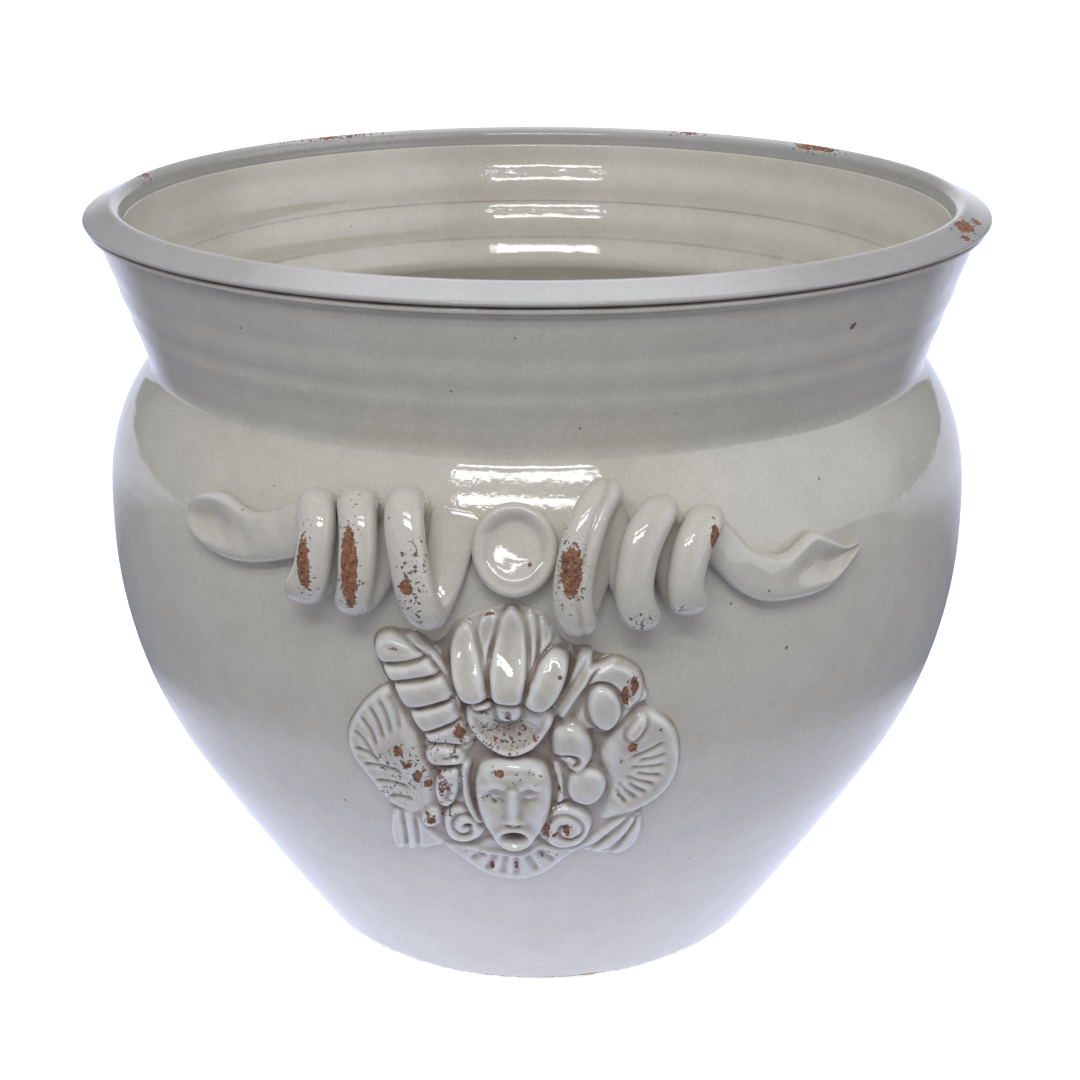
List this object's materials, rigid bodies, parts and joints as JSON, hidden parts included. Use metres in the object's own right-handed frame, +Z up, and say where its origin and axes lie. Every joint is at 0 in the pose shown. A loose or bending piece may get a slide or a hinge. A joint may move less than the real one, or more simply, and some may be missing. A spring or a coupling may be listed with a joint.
{
  "type": "terracotta cachepot",
  "caption": "Round glazed terracotta cachepot with a swelling belly, flared collar and rolled rim, dressed with clay rope coils, a boss and a mask medallion.",
  "frame": {"origin": "middle of the flat base, on the pot's axis", "axes": "+Z up along the pot's axis, -Y out through the middle of the relief, +X to the right of it"},
  "size_m": [0.3999, 0.4169, 0.34],
  "materials": {
    "body_glaze": "gloss",
    "rim_glaze": "gloss",
    "relief_glaze": "gloss"
  },
  "bodies": {
    "root": {"belly_bowl": "body_glaze", "boss": "relief_glaze", "bottom_shell": "relief_glaze", "collar": "body_glaze", "crest": "relief_glaze", "diadem": "relief_glaze", "left_bead": "relief_glaze", "left_cheek_curl": "relief_glaze", "left_horn": "relief_glaze", "left_leaf": "relief_glaze", "left_rope": "relief_glaze", "left_shell": "relief_glaze", "left_spray": "relief_glaze", "left_volute": "relief_glaze", "mask_face": "relief_glaze", "right_cheek_curl": "relief_glaze", "right_leaf": "relief_glaze", "right_rope": "relief_glaze", "right_scroll": "relief_glaze", "right_shell": "relief_glaze", "right_spray": "relief_glaze", "right_volute": "relief_glaze", "right_wing": "relief_glaze", "rim_coil": "rim_glaze"}
  },
  "joints": []
}
